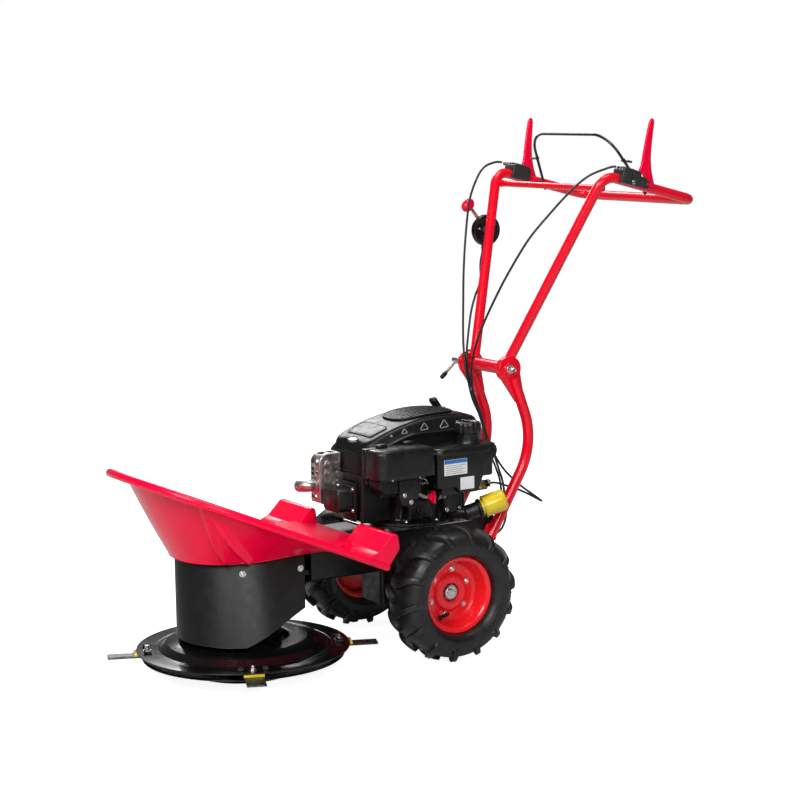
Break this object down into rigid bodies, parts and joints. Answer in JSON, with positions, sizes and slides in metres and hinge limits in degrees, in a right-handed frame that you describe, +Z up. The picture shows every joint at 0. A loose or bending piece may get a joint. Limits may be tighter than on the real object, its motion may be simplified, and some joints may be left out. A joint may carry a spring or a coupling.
{
  "type": "walk-behind drum mower",
  "caption": "Walk-behind rotary drum mower: engine over lugged wheels, belt-driven cutting disc with swinging blades under a flared front shield, folding handlebar with levers.",
  "frame": {"origin": "on the ground at the middle of the machine's box, close to the axle's middle", "axes": "+Z up, forward is -Y (the cutting drum), the operator's left is +X"},
  "size_m": [0.603, 1.4985, 1.2684],
  "materials": {
    "red_paint": "gloss",
    "black_paint": "gloss",
    "black_plastic": "satin",
    "red_plastic": "satin",
    "yellow_paint": "gloss",
    "tyre": "matte",
    "rubber": "matte",
    "zinc": "zinc plated",
    "steel": "machined",
    "blade_steel": "mill finish",
    "cast": "painted",
    "aluminium": "cast",
    "muffler_metal": "heat tinted",
    "paper": "pleated"
  },
  "bodies": {
    "chassis": {"main_beam": "black_paint", "engine_plate": "steel", "drum_shroud": "black_paint", "frame_bolts": "zinc", "debris_shield": "red_plastic", "gearbox_case": "cast", "shaft_bearings": "steel", "spindle_housing": "cast", "handle_masts": "red_paint", "blade_belt": "rubber", "drive_belt": "rubber", "crankcase": "cast", "cylinder": "cast", "valve_cover": "black_paint", "muffler": "muffler_metal", "muffler_guard": "muffler_metal", "blower_housing": "black_plastic", "air_filter": "paper", "carburettor": "black_plastic", "fuel_tank": "black_plastic", "oil_filter": "yellow_paint", "control_bracket": "zinc", "pivot_bolt": "zinc"},
    "crank": {"crankshaft": "steel", "flywheel": "aluminium", "engine_pulley": "steel"},
    "rotor": {"spindle_shaft": "steel", "rotor_pulley": "steel", "drum_tube": "black_paint", "cutting_disc": "black_paint", "blade_bolts": "zinc", "blade_clips": "yellow_paint"},
    "knife_1": {"blade_1": "blade_steel"},
    "knife_2": {"blade_2": "blade_steel"},
    "knife_3": {"blade_3": "blade_steel"},
    "knife_4": {"blade_4": "blade_steel"},
    "saucer": {"skid_saucer": "black_paint"},
    "axle": {"axle_shaft": "steel"},
    "worm": {"drive_worm": "steel"},
    "wheel_left": {"tyre_left": "tyre", "rim_left": "red_paint", "wheel_bolts_left": "zinc"},
    "wheel_right": {"tyre_right": "tyre", "rim_right": "red_paint", "wheel_bolts_right": "zinc"},
    "handlebar": {"handle_frame": "red_paint", "lever_housings": "black_plastic", "throttle_housing": "black_plastic", "cable_left": "rubber", "cable_right": "rubber", "cable_throttle": "rubber"},
    "clamp": {"clamp_lever": "zinc"},
    "grip_lever_left": {"lever_left": "red_plastic"},
    "grip_lever_right": {"lever_right": "red_plastic"},
    "presence_bail": {"bail": "black_paint"},
    "throttle": {"throttle_lever": "zinc"},
    "filter_cover": {"air_cleaner_cover": "black_plastic"},
    "cap": {"fuel_cap": "black_plastic"},
    "tap": {"fuel_tap": "red_plastic"},
    "starter": {"starter_grip": "black_plastic"}
  },
  "joints": [
    {"name": "left_wheel_spin", "type": "hinge", "parent": "chassis", "child": "wheel_left", "pos_m": [0.2154, 0, 0.165], "axis": [1, 0, 0], "continuous": true},
    {"name": "right_wheel_spin", "type": "hinge", "parent": "chassis", "child": "wheel_right", "pos_m": [-0.2154, 0, 0.165], "axis": [1, 0, 0], "continuous": true},
    {"name": "axle_spin", "type": "hinge", "parent": "chassis", "child": "axle", "pos_m": [0, 0, 0.165], "axis": [1, 0, 0], "continuous": true},
    {"name": "worm_spin", "type": "hinge", "parent": "chassis", "child": "worm", "pos_m": [0, -0.0464, 0.165], "axis": [0, 0, 1], "continuous": true},
    {"name": "crank_spin", "type": "hinge", "parent": "chassis", "child": "crank", "pos_m": [0, 0.038, 0.4], "axis": [0, 0, 1], "continuous": true},
    {"name": "rotor_spin", "type": "hinge", "parent": "chassis", "child": "rotor", "pos_m": [0, -0.444, 0.1], "axis": [0, 0, 1], "continuous": true},
    {"name": "saucer_spin", "type": "hinge", "parent": "rotor", "child": "saucer", "pos_m": [0, -0.444, 0.02], "axis": [0, 0, 1], "continuous": true},
    {"name": "blade_1_swing", "type": "hinge", "parent": "rotor", "child": "knife_1", "pos_m": [-0.08719, -0.65142, 0.05], "axis": [0, 0, 1], "range_deg": [-75, 75]},
    {"name": "blade_2_swing", "type": "hinge", "parent": "rotor", "child": "knife_2", "pos_m": [0.20742, -0.53119, 0.05], "axis": [0, 0, 1], "range_deg": [-75, 75]},
    {"name": "blade_3_swing", "type": "hinge", "parent": "rotor", "child": "knife_3", "pos_m": [0.08719, -0.23658, 0.05], "axis": [0, 0, 1], "range_deg": [-75, 75]},
    {"name": "blade_4_swing", "type": "hinge", "parent": "rotor", "child": "knife_4", "pos_m": [-0.20742, -0.35681, 0.05], "axis": [0, 0, 1], "range_deg": [-75, 75]},
    {"name": "handle_tilt", "type": "hinge", "parent": "chassis", "child": "handlebar", "pos_m": [0, 0.266, 0.662], "axis": [1, 0, 0], "range_deg": [-25, 20], "deforming": ["cable_left", "cable_right", "cable_throttle"]},
    {"name": "clamp_turn", "type": "hinge", "parent": "chassis", "child": "clamp", "pos_m": [-0.14, 0.266, 0.662], "axis": [-1, 0, 0], "range_deg": [0, 120]},
    {"name": "left_lever", "type": "hinge", "parent": "handlebar", "child": "grip_lever_left", "pos_m": [0.242, 0.57, 1.12], "axis": [-1, 0, 0], "range_deg": [0, 70], "stiffness_Nm_per_rad": 0.6, "springref_deg": -17.19},
    {"name": "right_lever", "type": "hinge", "parent": "handlebar", "child": "grip_lever_right", "pos_m": [-0.242, 0.57, 1.12], "axis": [-1, 0, 0], "range_deg": [0, 70], "stiffness_Nm_per_rad": 0.6, "springref_deg": -17.19},
    {"name": "bail_swing", "type": "hinge", "parent": "handlebar", "child": "presence_bail", "pos_m": [0, 0.585, 1.101], "axis": [-1, 0, 0], "range_deg": [0, 120], "stiffness_Nm_per_rad": 0.25, "springref_deg": -28.65},
    {"name": "throttle_swing", "type": "hinge", "parent": "handlebar", "child": "throttle", "pos_m": [-0.212, 0.409, 0.982], "axis": [1, 0, 0], "range_deg": [-30, 30]},
    {"name": "filter_cover_pull", "type": "slide", "parent": "chassis", "child": "filter_cover", "axis": [1, 0, 0], "range_m": [0, 0.08]},
    {"name": "cap_turn", "type": "hinge", "parent": "chassis", "child": "cap", "pos_m": [0.114, 0.122, 0.53], "axis": [0, 0, 1], "range_deg": [0, 90]},
    {"name": "tap_turn", "type": "hinge", "parent": "chassis", "child": "tap", "pos_m": [0.12, 0.014, 0.378], "axis": [1, 0, 0], "range_deg": [0, 90]},
    {"name": "starter_pull", "type": "slide", "parent": "chassis", "child": "starter", "axis": [0, -0.6157, 0.788], "range_m": [0, 0.5], "stiffness_N_per_m": 8, "springref_m": -0.2}
  ],
  "couplings": [
    {"joint": "worm_spin", "follows": "axle_spin", "ratio": 20}
  ]
}
